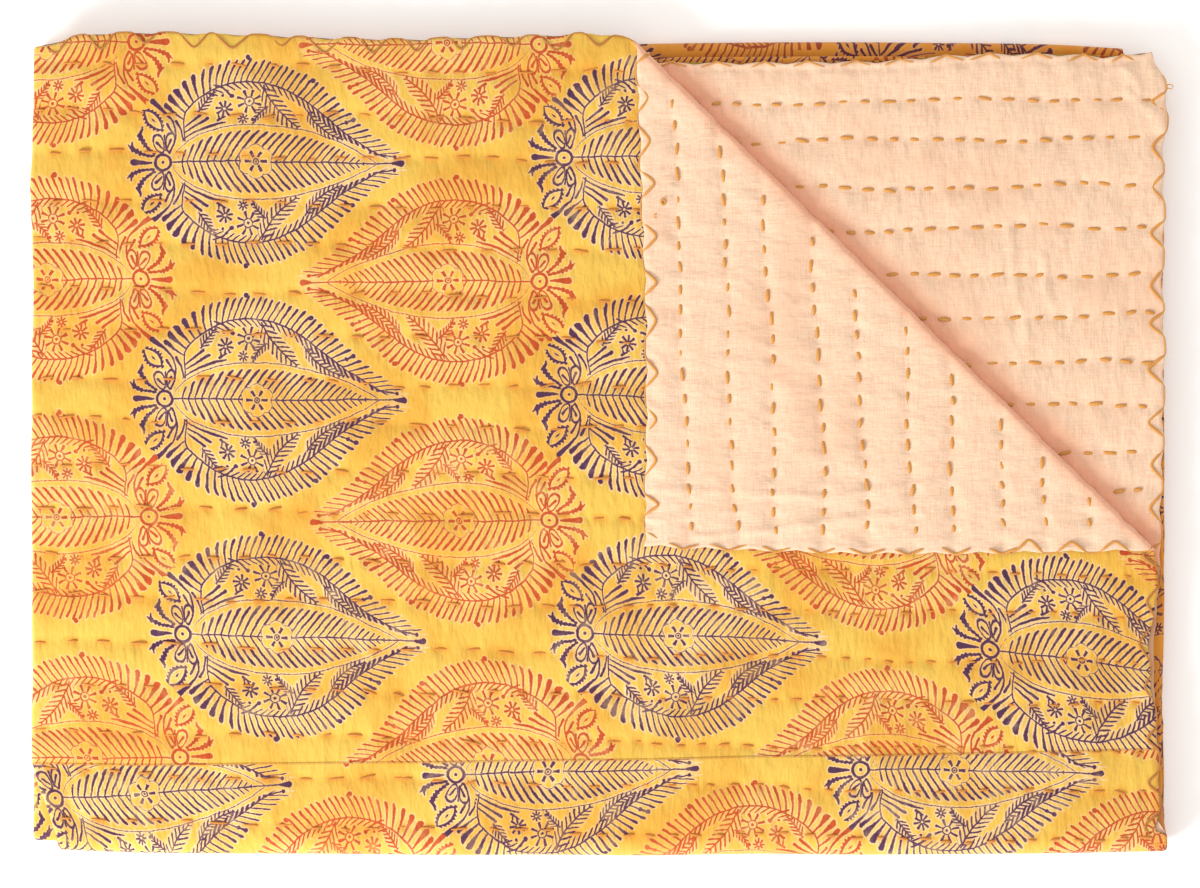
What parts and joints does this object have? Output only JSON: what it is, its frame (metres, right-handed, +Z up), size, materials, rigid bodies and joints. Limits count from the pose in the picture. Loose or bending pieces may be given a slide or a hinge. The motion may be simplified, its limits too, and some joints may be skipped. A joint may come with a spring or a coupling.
{
  "type": "folded kantha quilt",
  "caption": "Hand-stitched cotton quilt with a printed face and a plain back, folded into a flat pile with one top corner turned back.",
  "frame": {"origin": "on the surface the pile lies on, under the middle of its outline", "axes": "+X towards the hems that lie opposite the fold across the width, +Y towards the far hems of the top leaf, +Z up"},
  "size_m": [0.7544, 0.5464, 0.0292],
  "materials": {
    "printed_cotton": "soft matt block-printed cotton, quilted in running stitch",
    "plain_cotton": "soft matt plain-weave cotton, quilted in running stitch",
    "stitching": "soft cotton embroidery thread"
  },
  "bodies": {
    "root": {"printed_face": "printed_cotton", "plain_back": "plain_cotton"}
  },
  "joints": []
}
